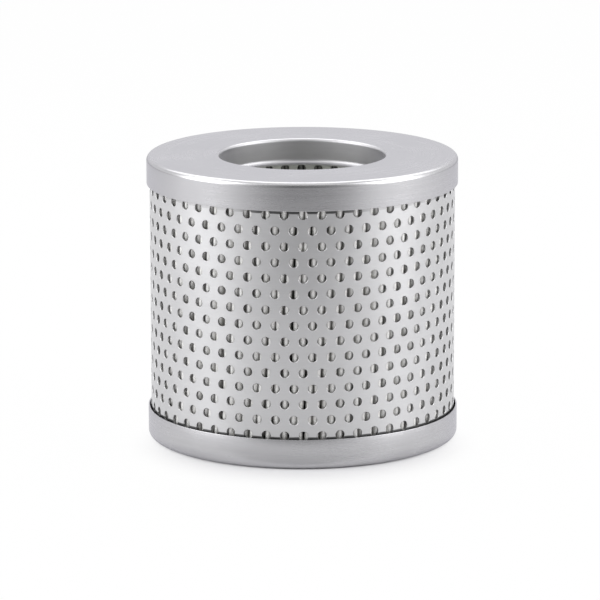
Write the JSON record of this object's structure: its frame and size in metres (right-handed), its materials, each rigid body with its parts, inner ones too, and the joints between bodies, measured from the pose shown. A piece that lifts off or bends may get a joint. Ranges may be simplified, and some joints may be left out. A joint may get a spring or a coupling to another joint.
{
  "type": "hydraulic filter",
  "caption": "Cylindrical hydraulic filter: a folded pack between punched tubes, in sheet end caps, with an open collar in the top cap.",
  "frame": {"origin": "centre of the bottom cap's underside, on the surface it stands on", "axes": "+Z along the filter's axis towards the open collar; -Y is the front; the guard tube's weld and the pack's clip are on the +Y side"},
  "size_m": [0.0852, 0.0852, 0.0781],
  "materials": {
    "cap_steel": "satin, turned lines round the axis",
    "tube_steel": "satin",
    "mesh_steel": "woven wire, matt",
    "filter_media": "matt felt",
    "resin": "smooth"
  },
  "bodies": {
    "root": {"top_end_cap": "cap_steel", "bottom_end_cap": "cap_steel", "guard_tube": "tube_steel", "core_tube": "tube_steel", "outer_support_mesh": "mesh_steel", "filter_media": "filter_media", "inner_support_mesh": "mesh_steel", "seam_clip": "tube_steel", "top_potting": "resin", "bottom_potting": "resin"}
  },
  "joints": []
}
